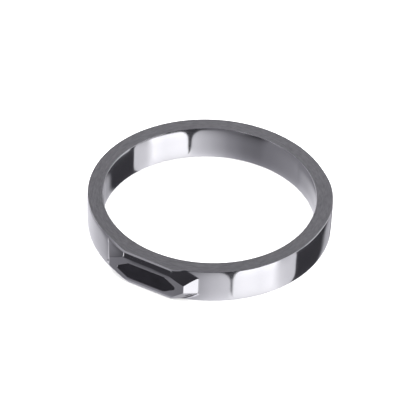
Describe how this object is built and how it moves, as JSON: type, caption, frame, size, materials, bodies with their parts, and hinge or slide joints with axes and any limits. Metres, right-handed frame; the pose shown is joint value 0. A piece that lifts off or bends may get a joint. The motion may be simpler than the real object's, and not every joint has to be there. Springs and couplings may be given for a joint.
{
  "type": "hexagon ring",
  "caption": "Flat finger ring with a faceted, elongated-hexagon head and a flush black hexagon plate.",
  "frame": {"origin": "centre of the finger hole, at the middle of the band's width", "axes": "+Z along the finger hole; the head faces -Y; the ring lies on its side on z = -1.55 mm"},
  "size_m": [0.0208, 0.0211, 0.0032],
  "materials": {
    "silver": "polished walls, satin faces",
    "black_enamel": "satin black"
  },
  "bodies": {
    "root": {"band": "silver", "inlay": "black_enamel"}
  },
  "joints": []
}
